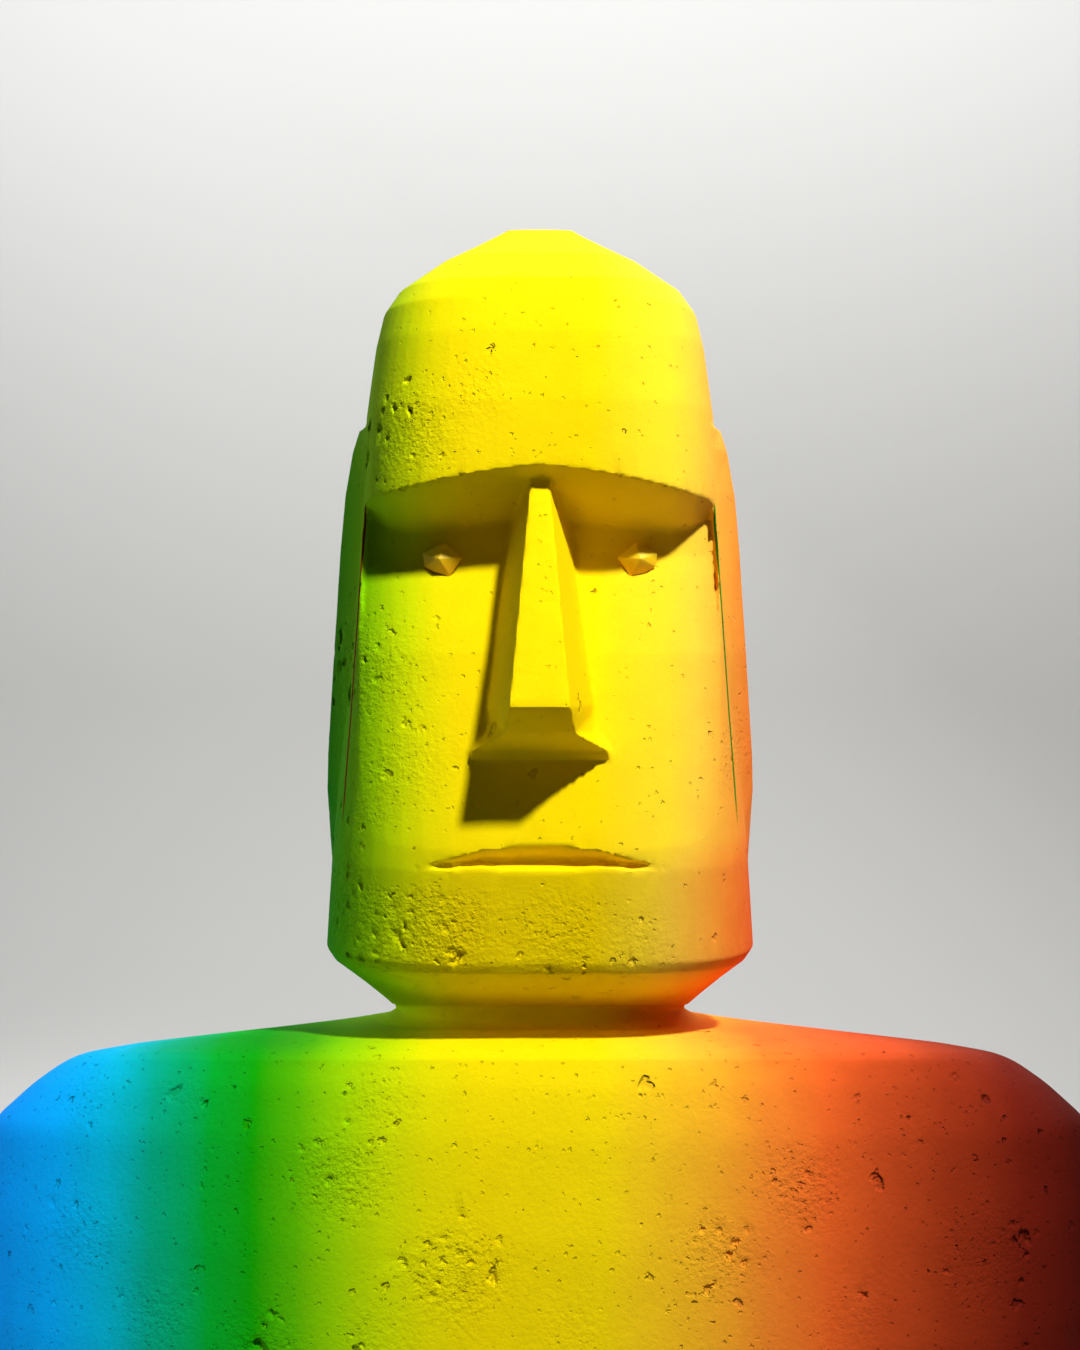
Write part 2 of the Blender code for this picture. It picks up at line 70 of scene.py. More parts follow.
def linear(red: float, green: float, blue: float) -> tuple[float, float, float, float]:
    """Turn a colour as seen on a screen into the linear values that shaders use.

    Args:
        red: Red as seen, 0 to 1.
        green: Green as seen, 0 to 1.
        blue: Blue as seen, 0 to 1.

    Returns:
        The linear colour with full alpha.
    """

    def straighten(value: float) -> float:
        """One channel without its display curve."""
        return value / 12.92 if value <= 0.04045 else ((value + 0.055) / 1.055) ** 2.4

    return straighten(red), straighten(green), straighten(blue), 1.0


class Workbench:
    """A node tree with one method that makes any node in it."""

    def __init__(self, tree: bpy.types.NodeTree) -> None:
        """Keep the tree.

        Args:
            tree: The node tree that nodes are added to.
        """
        self.tree = tree

    def node(
        self,
        kind: str,
        settings: dict[str, object] | None = None,
        inputs: dict[str | int, object] | None = None,
        stops: list[tuple[float, tuple[float, float, float, float]]] | None = None,
    ) -> bpy.types.Node:
        """Make a node, set it up, and feed its sockets.

        Args:
            kind: Blender's name of the node type.
            settings: Properties of the node, set before its sockets.
            inputs: Sockets by name or number, each with a value, a socket or a Value.
            stops: The places and colours of a colour ramp.

        Returns:
            The new node.
        """
        node = self.tree.nodes.new(kind)
        for name, value in (settings or {}).items():
            setattr(node, name, value)
        if stops:
            elements = node.color_ramp.elements
            while len(elements) > 1:
                elements.remove(elements[-1])
            elements[0].position = stops[0][0]
            elements[0].color = stops[0][1]
            for place, colour in stops[1:]:
                elements.new(place).color = colour
        for key, value in (inputs or {}).items():
            self.feed(node.inputs[key], value)
        return node

    def feed(self, socket: bpy.types.NodeSocket, value: object) -> None:
        """Give a socket a constant or link it.

        Args:
            socket: The socket to feed.
            value: A number, a colour or vector, a socket, or a Value.
        """
        if isinstance(value, Value):
            self.tree.links.new(value.socket, socket)
        elif isinstance(value, bpy.types.NodeSocket):
            self.tree.links.new(value, socket)
        else:
            socket.default_value = value

    def value(self, socket: bpy.types.NodeSocket) -> "Value":
        """A socket ready for sums."""
        return Value(self, socket)

    def noise(self, place: object, scale: float, detail: float = 3.0, roughness: float = 0.5) -> "Value":
        """Cloudy noise between 0 and 1.

        Args:
            place: The coordinates to read it at.
            scale: How many features there are to a metre.
            detail: How many finer layers it has.
            roughness: How strong the finer layers are.

        Returns:
            The noise.
        """
        sockets = {"Vector": place, "Scale": scale, "Detail": detail, "Roughness": roughness}
        return self.value(self.node("ShaderNodeTexNoise", {"noise_dimensions": "3D"}, sockets).outputs[0])

    def blend(
        self, factor: object, first: object, second: object, mode: str = "MIX"
    ) -> bpy.types.NodeSocket:
        """Mix two colours.

        Args:
            factor: How much of the second colour there is.
            first: The first colour.
            second: The second colour.
            mode: Blender's name of the way they mix.

        Returns:
            The mixed colour's socket.
        """
        node = self.node("ShaderNodeMix", {"data_type": "RGBA", "blend_type": mode, "clamp_factor": True})
        self.feed(node.inputs[0], factor)
        self.feed(node.inputs[6], first)
        self.feed(node.inputs[7], second)
        return node.outputs[2]


class Value:
    """A number that varies over the surface, which sums add Math nodes to."""

    def __init__(self, bench: Workbench, socket: bpy.types.NodeSocket) -> None:
        """Wrap a socket.

        Args:
            bench: The tree's workbench.
            socket: The output that holds the number.
        """
        self.bench = bench
        self.socket = socket

    def _sum(self, operation: str, first: object, second: object) -> "Value":
        """One Math node on two numbers."""
        node = self.bench.node("ShaderNodeMath", {"operation": operation}, {0: first, 1: second})
        return Value(self.bench, node.outputs[0])

    def __add__(self, other: object) -> "Value":
        """Add."""
        return self._sum("ADD", self, other)

    __radd__ = __add__

    def __sub__(self, other: object) -> "Value":
        """Take away."""
        return self._sum("SUBTRACT", self, other)

    def __rsub__(self, other: object) -> "Value":
        """Take this away from another number."""
        return self._sum("SUBTRACT", other, self)

    def __mul__(self, other: object) -> "Value":
        """Multiply."""
        return self._sum("MULTIPLY", self, other)

    __rmul__ = __mul__

    def __truediv__(self, other: object) -> "Value":
        """Divide."""
        return self._sum("DIVIDE", self, other)

    def __rtruediv__(self, other: object) -> "Value":
        """Divide another number by this one."""
        return self._sum("DIVIDE", other, self)

    def at_least(self, other: object) -> "Value":
        """The larger of the two."""
        return self._sum("MAXIMUM", self, other)

    def at_most(self, other: object) -> "Value":
        """The smaller of the two."""
        return self._sum("MINIMUM", self, other)

    def below(self, other: object) -> "Value":
        """1 where this is below the other, else 0."""
        return self._sum("LESS_THAN", self, other)

    def ramp(self, start: object, end: object, low: float = 0.0, high: float = 1.0) -> "Value":
        """Go smoothly from one number to another.

        Args:
            start: Where this number starts to count.
            end: Where it counts in full.
            low: The result at the start.
            high: The result at the end.

        Returns:
            The smoothed result, held at both ends.
        """
        sockets = {0: self, 1: start, 2: end, 3: low, 4: high}
        node = self.bench.node("ShaderNodeMapRange", {"interpolation_type": "SMOOTHSTEP"}, sockets)
        return Value(self.bench, node.outputs[0])


@dataclass(frozen=True)
class PitLayer:
    """One size of pit left in the stone where soft grains fell out."""

    spacing: float
    radius: float
    depth: float
    crowding: float
    seed: float

    def vector(
        self, bench: Workbench, operation: str, inputs: dict[str | int, object]
    ) -> bpy.types.NodeSocket:
        """One Vector Math node's result."""
        return bench.node("ShaderNodeVectorMath", {"operation": operation}, inputs).outputs[0]

    def build(self, bench: Workbench, place: object, density: Value) -> Value:
        """Add the nodes that say how hollow the stone is at each place.

        Args:
            bench: The tree that the nodes go in, of either kind.
            place: The coordinates, in metres.
            density: How pitted the stone is there, 0 to 1.

        Returns:
            How hollow it is, from 0 on the surface to 1 at the bottom of the deepest pit.
        """
        scale = 1 / self.spacing
        offset = (self.seed, self.seed, self.seed)
        wobble = bench.node(
            "ShaderNodeTexNoise", {}, {"Vector": place, "Scale": scale * 1.9, "Detail": 2.0}
        )
        centred = self.vector(bench, "SUBTRACT", {0: wobble.outputs[1], 1: (0.5, 0.5, 0.5)})
        sized = self.vector(bench, "SCALE", {0: centred, "Scale": self.spacing * 0.9})
        shifted = self.vector(bench, "ADD", {0: place, 1: sized})
        seeded = self.vector(bench, "ADD", {0: shifted, 1: offset})
        cells = bench.node("ShaderNodeTexVoronoi", {"feature": "F1"}, {"Vector": seeded, "Scale": scale})
        chance = bench.node("ShaderNodeSeparateXYZ", {}, {0: cells.outputs[1]})
        reach = bench.value(chance.outputs[0]).ramp(0.0, 1.0, 0.45, 1.0) * (self.radius * scale)
        shape = 1 - (bench.value(cells.outputs[0]) / reach).ramp(0.40, 1.0)
        present = bench.value(chance.outputs[1]).below(density * self.crowding)
        return shape * present * bench.value(chance.outputs[2]).ramp(0.0, 1.0, 0.35, 1.0)


@dataclass(frozen=True)
class Cluster:
    """A patch of the surface that is more pitted than the rest."""

    x: float
    z: float
    radius: float
    strength: float


@dataclass(frozen=True)
class Wear:
    """How the tuff has weathered: the patches and the sizes of its pits."""

    chips: PitLayer = PitLayer(0.058, 0.0210, 0.0080, 0.70, 1.7)
    pits: PitLayer = PitLayer(0.026, 0.0105, 0.0050, 0.85, 4.3)
    grains: PitLayer = PitLayer(0.0105, 0.0046, 0.0020, 0.90, 8.9)
    patches: tuple[Cluster, ...] = (
        Cluster(-0.20, 2.620, 0.15, 0.85),
        Cluster(-0.32, 2.640, 0.15, 0.95),
        Cluster(0.03, 2.600, 0.14, 0.45),
        Cluster(0.17, 2.590, 0.10, 0.30),
        Cluster(-0.35, 2.800, 0.12, 0.50),
        Cluster(-0.25, 3.530, 0.13, 0.65),
        Cluster(-0.12, 3.600, 0.10, 0.35),
        Cluster(-0.32, 3.080, 0.16, 0.55),
        Cluster(-0.26, 2.920, 0.13, 0.45),
        Cluster(-0.356, 2.180, 0.12, 0.80),
        Cluster(-0.151, 2.010, 0.13, 0.70),
        Cluster(0.472, 2.160, 0.11, 0.65),
        Cluster(0.320, 2.050, 0.10, 0.55),
        Cluster(-0.294, 2.310, 0.10, 0.50),
        Cluster(0.370, 2.930, 0.08, 0.30),
        Cluster(-0.845, 2.290, 0.10, 0.32),
        Cluster(-0.650, 2.300, 0.09, 0.28),
        Cluster(-0.840, 2.060, 0.12, 0.40),
        Cluster(-0.700, 1.930, 0.11, 0.45),
        Cluster(-0.500, 1.880, 0.10, 0.55),
        Cluster(-0.300, 1.900, 0.10, 0.40),
        Cluster(0.060, 1.920, 0.10, 0.30),
        Cluster(0.820, 2.020, 0.14, 0.45),
        Cluster(0.680, 2.250, 0.09, 0.30),
        Cluster(0.560, 1.930, 0.10, 0.35),
    )
    base_density: float = 0.11
    head_density: float = 0.035
    head_foot: float = 2.35
    mouth_level: float = 2.745
    mouth_reach: tuple[float, float] = (0.31, 0.050)

    def density(self, points: np.ndarray) -> np.ndarray:
        """How pitted the stone is at each point.

        Args:
            points: Places on the surface, one row each.

        Returns:
            The density of pits, 0 to 1, one number for each row.
        """
        x, y, z = points.T
        onto_head = np.clip((z - self.head_foot) / 0.15, 0.0, 1.0)
        result = self.base_density + (self.head_density - self.base_density) * onto_head
        for patch in self.patches:
            away = np.hypot(x - patch.x, z - patch.z) / patch.radius
            soft = np.clip(1.25 - away, 0.0, 1.0) ** 1.5
            result = np.maximum(result, patch.strength * soft * (y < 0.1))
        swells = np.sin(2.3 * x + 1.1 * z + 0.7) * np.sin(1.9 * z - 2.1 * y + 2.0)
        waves = swells + 0.5 * np.sin(5.1 * x + 4.3 * y + 3.7 * z)
        elsewhere = np.clip((waves - 0.45) * 1.2, 0.0, 0.75)
        hidden = np.clip((y + 0.15) / 0.3, 0.0, 1.0) + np.clip((1.95 - z) / 0.3, 0.0, 1.0)
        result = np.maximum(result, elsewhere * np.clip(hidden, 0.0, 1.0))
        mouth_half_width, mouth_half_height = self.mouth_reach
        mouth = np.maximum(np.abs(x) / mouth_half_width, np.abs(z - self.mouth_level) / mouth_half_height)
        return result * np.where(y < 0.0, np.clip((mouth - 1.0) / 0.25, 0.0, 1.0), 1.0)

    def hollowed(self, points: np.ndarray) -> np.ndarray:
        """Where pits are real hollows in the mesh. Elsewhere the few small ones are only shading.

        Args:
            points: Places on the surface, one row each.

        Returns:
            1 in the pitted patches, 0 where the stone is all but plain, one number for each row.
        """
        return np.clip((self.density(points) - self.base_density - 0.02) / 0.10, 0.0, 1.0)


class Shell:
    """A plain mesh on its way from a CAD solid to a finished piece."""

    def __init__(self, node: str) -> None:
        """Copy a CAD solid's mesh and weld its loose triangles.

        Args:
            node: The name of the CAD node.
        """
        self.node = node
        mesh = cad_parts[node].data.copy()
        mesh.name = f"{node}_skin"
        mesh.materials.clear()
        welded = bmesh.new()
        welded.from_mesh(mesh)
        bmesh.ops.remove_doubles(welded, verts=welded.verts, dist=0.00005)
        welded.to_mesh(mesh)
        welded.free()
        self.piece = bpy.data.objects.new(f"{node}_skin", mesh)
        bpy.context.scene.collection.objects.link(self.piece)

    def bake(self) -> None:
        """Turn the live modifiers into plain mesh."""
        depsgraph = bpy.context.evaluated_depsgraph_get()
        result = bpy.data.meshes.new_from_object(self.piece.evaluated_get(depsgraph), depsgraph=depsgraph)
        old = self.piece.data
        self.piece.modifiers.clear()
        self.piece.data = result
        bpy.data.meshes.remove(old)

    def edges(self) -> np.ndarray:
        """The two vertex numbers of every edge, one row each."""
        flat = np.empty(len(self.piece.data.edges) * 2, dtype=np.int32)
        self.piece.data.edges.foreach_get("vertices", flat)
        return flat.reshape(-1, 2)

    def refine(self, voxel: float) -> None:
        """Give the whole surface even, fine faces.

        Args:
            voxel: The size of a face, in metres.
        """
        remesh = self.piece.modifiers.new("fine skin", "REMESH")
        remesh.mode = "VOXEL"
        remesh.voxel_size = voxel
        self.bake()

    def soften(self, low: float, high: float, rounds: int) -> None:
        """Ease the low facets between two levels into one flowing surface.

        Args:
            low: The lower level, in metres.
            high: The upper level, in metres.
            rounds: How many times each vertex moves towards its neighbours.
        """
        points = self.points()
        first, second = self.edges().T
        count = np.bincount(first, minlength=len(points)) + np.bincount(second, minlength=len(points))
        inside = np.minimum(points[:, 2] - low, high - points[:, 2]) / 0.05
        weight = np.clip(inside, 0.0, 1.0)[:, None] * 0.6
        for _ in range(rounds):
            total = np.empty_like(points)
            for axis in range(3):
                total[:, axis] = np.bincount(first, points[second, axis], len(points))
                total[:, axis] += np.bincount(second, points[first, axis], len(points))
            points += weight * (total / count[:, None] - points)
        self.move(points)

    def move(self, points: np.ndarray) -> None:
        """Put the vertices at new places, one row each."""
        self.piece.data.vertices.foreach_set("co", points.astype(np.float32).ravel())
        self.piece.data.update()

    def thin(self, triangles: int) -> None:
        """Join faces where the surface is plain until few enough are left.

        Args:
            triangles: The most triangles that may be left.
        """
        self.piece.data.calc_loop_triangles()
        count = len(self.piece.data.loop_triangles)
        if count > triangles:
            decimate = self.piece.modifiers.new("thin", "DECIMATE")
            decimate.ratio = triangles / count
            decimate.use_collapse_triangulate = True
            self.bake()

    def points(self) -> np.ndarray:
        """The places of all its vertices, one row each."""
        flat = np.empty(len(self.piece.data.vertices) * 3, dtype=np.float32)
        self.piece.data.vertices.foreach_get("co", flat)
        return flat.reshape(-1, 3).astype(float)

    def store(self, name: str, values: np.ndarray) -> None:
        """Keep one number for each vertex.

        Args:
            name: The attribute's name.
            values: The numbers, in the order of the vertices.
        """
        attributes = self.piece.data.attributes
        if name in attributes:
            attributes.remove(attributes[name])
        attributes.new(name, "FLOAT", "POINT").data.foreach_set("value", values.astype(np.float32))

    def finish(self, name: str, material: bpy.types.Material, sharp: float) -> bpy.types.Object:
        """Name the piece, paint it, and put it on the frame in the CAD solid's place.

        Args:
            name: The piece's name.
            material: Its material.
            sharp: The angle in degrees past which an edge stays crisp.

        Returns:
            The finished piece.
        """
        mesh = self.piece.data
        self.piece.name = mesh.name = name
        mesh.materials.clear()
        mesh.materials.append(material)
        mesh.shade_smooth()
        mesh.set_sharp_from_angle(angle=math.radians(sharp))
        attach(self.piece, "root")
        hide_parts(self.node)
        mesh.calc_loop_triangles()
        LOG.info("%s: %d triangles", name, len(mesh.loop_triangles))
        return self.piece


@dataclass(frozen=True)
class PaintedLight:
    """Painted coloured light in upright bands, from the figure's right to its left, each colour with its
    place along X.
    """

    # Painted coloured light on the body, blue through green and yellow to red.
    body: tuple[tuple[float, tuple[float, float, float]], ...] = (
        (-1.08, (0.00, 0.58, 1.00)),
        (-0.90, (0.00, 0.68, 1.00)),
        (-0.80, (0.00, 0.72, 0.86)),
        (-0.71, (0.00, 0.68, 0.54)),
        (-0.60, (0.00, 0.68, 0.18)),
        (-0.52, (0.06, 0.66, 0.00)),
        (-0.44, (0.36, 0.74, 0.00)),
        (-0.36, (0.62, 0.84, 0.00)),
        (-0.28, (0.80, 0.88, 0.00)),
        (-0.20, (0.92, 0.89, 0.00)),
        (-0.10, (0.98, 0.88, 0.00)),
        (0.12, (1.00, 0.88, 0.02)),
        (0.25, (1.00, 0.81, 0.10)),
        (0.36, (1.00, 0.71, 0.15)),
        (0.46, (0.98, 0.54, 0.17)),
        # From here to the end the bands darken to deep red-brown: painted shade, where the light falls off.
        (0.57, (0.93, 0.39, 0.14)),
        (0.66, (0.78, 0.29, 0.11)),
        (0.80, (0.60, 0.19, 0.07)),
        (0.94, (0.43, 0.10, 0.04)),
        (1.08, (0.30, 0.05, 0.02)),
    )
    # The head's own bands turn orange sooner at its edge: painted coloured light on the head's turning sides.
    head: tuple[tuple[float, tuple[float, float, float]], ...] = (
        (-0.47, (0.00, 0.50, 0.08)),
        (-0.42, (0.02, 0.56, 0.00)),
        (-0.37, (0.38, 0.74, 0.00)),
        (-0.30, (0.63, 0.82, 0.00)),
        (-0.25, (0.80, 0.87, 0.00)),
        (-0.20, (0.92, 0.88, 0.00)),
        (-0.14, (0.98, 0.87, 0.00)),
        (0.10, (1.00, 0.86, 0.00)),
        (0.24, (1.00, 0.85, 0.16)),
        (0.29, (1.00, 0.80, 0.23)),
        (0.34, (1.00, 0.70, 0.23)),
        (0.40, (1.00, 0.55, 0.20)),
        (0.46, (0.95, 0.38, 0.15)),
    )
    neck_height: float = 2.40
    # The thin lines down the recess walls are painted coloured light: red-brown on the wall at the figure's
    # right, green on the one at its left, each facing across the face.
    line_top: float = 3.402
    line_half_span: float = 0.331
    line_spread: float = 0.068
    painted_wall_light_right: tuple[float, float, float] = (0.50, 0.16, 0.00)
    painted_wall_light_left: tuple[float, float, float] = (0.10, 0.50, 0.04)

    def ramp(self, bench: Workbench, across: Value, bands: tuple, reach: float) -> bpy.types.NodeSocket:
        """One run of bands.

        Args:
            bench: The material's workbench.
            across: The place along X, in metres.
            bands: Places and colours.
            reach: How far the run goes to each side, in metres.

        Returns:
            The colour's socket.
        """
        stops = [((place + reach) / (2 * reach), linear(*colour)) for place, colour in bands]
        place = (across + reach) / (2 * reach)
        return bench.node("ShaderNodeValToRGB", {}, {0: place}, stops).outputs[0]


@dataclass(frozen=True)
class TuffWithPaintedLight:
    """Matte volcanic tuff: upright bands of painted coloured light, mottling, pits darkened by painted shade,
    fine grain.
    """

    wear: Wear
    painted_light: PaintedLight = PaintedLight()
    roughness: float = 0.84

    def build(self) -> bpy.types.Material:
        """Make the material.

        Returns:
            The finished material.
        """
        material = bpy.data.materials.new("washed_tuff")
        material.use_nodes = True
        bench = Workbench(material.node_tree)
        shader = material.node_tree.nodes["Principled BSDF"]
        place = bench.node("ShaderNodeTexCoord").outputs["Object"]
        axes = bench.node("ShaderNodeSeparateXYZ", {}, {0: place})
        x, y, z = (bench.value(axis) for axis in axes.outputs)
        pitting = bench.node("ShaderNodeAttribute", {"attribute_name": "pitting"})
        density = bench.value(pitting.outputs["Fac"])

        chips = self.wear.chips.build(bench, place, density)
        pits = self.wear.pits.build(bench, place, density)
        grains = self.wear.grains.build(bench, place, density * 1.2 + 0.05)
        hollow = chips.at_least(pits)
        broad = bench.noise(place, 2.6, 3.0)
        mottle = bench.noise(place, 17.0, 5.0, 0.6)
        grit = bench.noise(place, 240.0, 3.0, 0.6)

        # The painted coloured light is read at X, nudged by cloudy noise, by the pits, and towards orange on
        # the jaw beyond X 0.08.
        jaw = z.ramp(2.80, 2.70) * x.ramp(0.08, 0.20)
        across = x + (broad - 0.5) * 0.04 + (mottle - 0.5) * 0.02 + hollow * 0.03 + jaw * 0.05
        body = self.painted_light.ramp(bench, across, self.painted_light.body, 1.2)
        head = self.painted_light.ramp(bench, across, self.painted_light.head, 0.5)
        upper = z.ramp(self.painted_light.neck_height - 0.05, self.painted_light.neck_height + 0.03)
        colour = bench.blend(upper, body, head)
        # Painted light: a thin line of coloured light along each recess wall, red-brown on the figure's
        # right, green on its left.
        side = x.ramp(-0.02, 0.02, -1.0, 1.0)
        offside = x * side - (self.painted_light.line_half_span + (self.painted_light.line_top - z) * self.painted_light.line_spread)
        near = 1 - (offside * offside).ramp(0.0000012, 0.000006)
        wall_painted_light_mask = near * z.ramp(2.78, 2.86) * (1 - z.ramp(3.395, 3.410)) * y.below(-0.2)
        wall_painted_light_colour = bench.blend(x.ramp(-0.02, 0.02), linear(*self.painted_light.painted_wall_light_right), linear(*self.painted_light.painted_wall_light_left))
        colour = bench.blend(wall_painted_light_mask, colour, wall_painted_light_colour)
        # The mottling and grit are the stone's own tone; the darkening in the pits and grains is painted
        # shade.
        clouds = 1.02 - (mottle - 0.5) * 0.16 - (broad - 0.5) * 0.10
        shade = clouds - hollow * 0.14 - grains * 0.08 - (grit - 0.5) * 0.10
        tint = bench.node("ShaderNodeCombineXYZ", {}, {0: shade, 1: shade, 2: shade}).outputs[0]
        colour = bench.blend(1.0, colour, tint, "MULTIPLY")
        bench.feed(shader.inputs["Base Color"], colour)
        bench.feed(shader.inputs["Roughness"], self.roughness + (mottle - 0.5) * 0.14 - hollow * 0.03)
        shader.inputs["Specular IOR Level"].default_value = 0.05

        ripple = bench.noise(place, 95.0, 4.0, 0.6)
        steps = self.wear.chips.depth / self.wear.pits.depth
        relief = 0 - chips * steps - pits - grains * 0.45 + (grit - 0.5) * 0.06
        relief = relief + (ripple - 0.5) * (density * 1.5 + 0.05)
        height = self.wear.pits.depth * 1.15
        bump = bench.node("ShaderNodeBump", {}, {"Strength": 1.0, "Distance": height, "Height": relief})
        bench.feed(shader.inputs["Normal"], bump.outputs[0])
        return material


@dataclass(frozen=True)
class EyeStone:
    """The eye stones' finish: warm yellow and a little smoother, with fine grain, lighter above as painted
    light and orange-brown below as painted shade.
    """

    # Painted light on the upper facets and painted shade on the lower ones.
    upper: tuple[float, float, float] = (1.0, 0.87, 0.04)
    lower: tuple[float, float, float] = (0.98, 0.74, 0.05)
    roughness: float = 0.55

    def build(self) -> bpy.types.Material:
        """Make the material.

        Returns:
            The finished material.
        """
        material = bpy.data.materials.new("eye_stone")
        material.use_nodes = True
        bench = Workbench(material.node_tree)
        shader = material.node_tree.nodes["Principled BSDF"]
        place = bench.node("ShaderNodeTexCoord").outputs["Object"]
        cloud = bench.noise(place, 60.0, 4.0, 0.6)
        grit = bench.noise(place, 420.0, 3.0, 0.6)
        level = bench.value(bench.node("ShaderNodeSeparateXYZ", {}, {0: place}).outputs[2])
        # Painted light above, painted shade below, blended by height with a cloudy edge.
        height = level.ramp(3.27, 3.32) + (cloud - 0.5) * 0.5
        colour = bench.blend(height, linear(*self.lower), linear(*self.upper))
        bench.feed(shader.inputs["Base Color"], colour)
        bench.feed(shader.inputs["Roughness"], self.roughness + (cloud - 0.5) * 0.2)
        sockets = {"Strength": 0.35, "Distance": 0.0008, "Height": grit + cloud}
        bump = bench.node("ShaderNodeBump", {}, sockets)
        bench.feed(shader.inputs["Normal"], bump.outputs[0])
        return material


@dataclass
class Figure:
    """The carved stone: its skin, its pits and its paint."""

    wear: Wear = field(default_factory=Wear)
    voxel: float = 0.0052
    quick_voxel: float = 0.010
    triangles: int = 194000
    swell: float = 0.0030
    foot_depth: float = 0.012
    crisp_angle: float = 32.0
    eased: tuple[float, float] = (1.90, 2.365)
    rounds: int = 60

    def relief_tree(self) -> tuple[bpy.types.NodeTree, dict[str, str]]:
        """Build the Geometry Nodes tree that wears and pits a surface.

        Returns:
            The tree, and its inputs' identifiers by name.
        """
        tree = bpy.data.node_groups.new("worn_stone", Tree.GEOMETRY.value)
        tree.interface.new_socket("Geometry", in_out="INPUT", socket_type="NodeSocketGeometry")
        tree.interface.new_socket("Geometry", in_out="OUTPUT", socket_type="NodeSocketGeometry")
        names = ("Chip depth", "Pit depth", "Swell")
        identifiers = {}
        for name in names:
            item = tree.interface.new_socket(name, in_out="INPUT", socket_type="NodeSocketFloat")
            identifiers[name] = item.identifier
        material = tree.interface.new_socket("Material", in_out="INPUT", socket_type="NodeSocketMaterial")
        identifiers["Material"] = material.identifier

        bench = Workbench(tree)
        entry = bench.node("NodeGroupInput")
        place = bench.node("GeometryNodeInputPosition").outputs[0]
        normal = bench.node("GeometryNodeInputNormal").outputs[0]
        named = bench.node("GeometryNodeInputNamedAttribute", {"data_type": "FLOAT"}, {"Name": "pitting"})
        density = bench.value(named.outputs[0])
        chips = self.wear.chips.build(bench, place, density)
        pits = self.wear.pits.build(bench, place, density)
        broad = bench.noise(place, 3.1, 2.0)
        hollowed = bench.node("GeometryNodeInputNamedAttribute", {"data_type": "FLOAT"}, {"Name": "hollowed"})
        held = bench.value(hollowed.outputs[0])
        carved = chips * entry.outputs["Chip depth"] + pits * entry.outputs["Pit depth"]
        sink = carved * held + broad * entry.outputs["Swell"]
        offset = bench.node("ShaderNodeVectorMath", {"operation": "SCALE"}, {0: normal, "Scale": 0 - sink})
        sockets = {"Geometry": entry.outputs["Geometry"], "Offset": offset.outputs[0]}
        moved = bench.node("GeometryNodeSetPosition", {}, sockets)
        real = bench.node("GeometryNodeRealizeInstances", {}, {"Geometry": moved.outputs[0]})
        sockets = {"Geometry": real.outputs[0], "Material": entry.outputs["Material"]}
        painted = bench.node("GeometryNodeSetMaterial", {}, sockets)
        bench.node("NodeGroupOutput", {}, {"Geometry": painted.outputs[0]})
        return tree, identifiers

    def keep_underside_flat(self, shell: Shell) -> None:
        """Put the skin's lowest points back on the plane that the figure stands on."""
        points = shell.points()
        low = points[:, 2] < self.foot_depth
        points[low, 2] = 0.0
        shell.move(points)

    def build(self) -> bpy.types.Object:
        """Make the figure.

        Returns:
            The finished piece.
        """
        material = TuffWithPaintedLight(self.wear).build()
        shell = Shell("statue")
        shell.refine(self.voxel)
        LOG.info("skin: %d points", len(shell.piece.data.vertices))
        shell.soften(*self.eased, self.rounds)
        shell.store("pitting", self.wear.density(shell.points()))
        shell.store("hollowed", self.wear.hollowed(shell.points()))
        tree, identifiers = self.relief_tree()
        relief = shell.piece.modifiers.new("worn stone", "NODES")
        relief.node_group = tree
        relief[identifiers["Chip depth"]] = self.wear.chips.depth
        relief[identifiers["Pit depth"]] = self.wear.pits.depth
        relief[identifiers["Swell"]] = self.swell
        relief[identifiers["Material"]] = material
        shell.bake()
        self.keep_underside_flat(shell)
        shell.thin(self.triangles)
        shell.store("pitting", self.wear.density(shell.points()))
        return shell.finish("moai", material, self.crisp_angle)


@dataclass
class Eyes:
    """The two faceted stones in the sockets."""

    edge: float = 0.0012

    def build(self) -> list[bpy.types.Object]:
        """Make both stones.

        Returns:
            The finished pieces.
        """
        material = EyeStone().build()
        stones = []
        for side in Side:
            shell = Shell(f"eye_stone_{side.name.lower()}")
            bevel = shell.piece.modifiers.new("worn edges", "BEVEL")
            bevel.width = self.edge
            bevel.segments = 2
            bevel.limit_method = "ANGLE"
            bevel.angle_limit = math.radians(6)
            shell.bake()
            stones.append(shell.finish(f"eye_{side.name.lower()}", material, 30.0))
        return stones


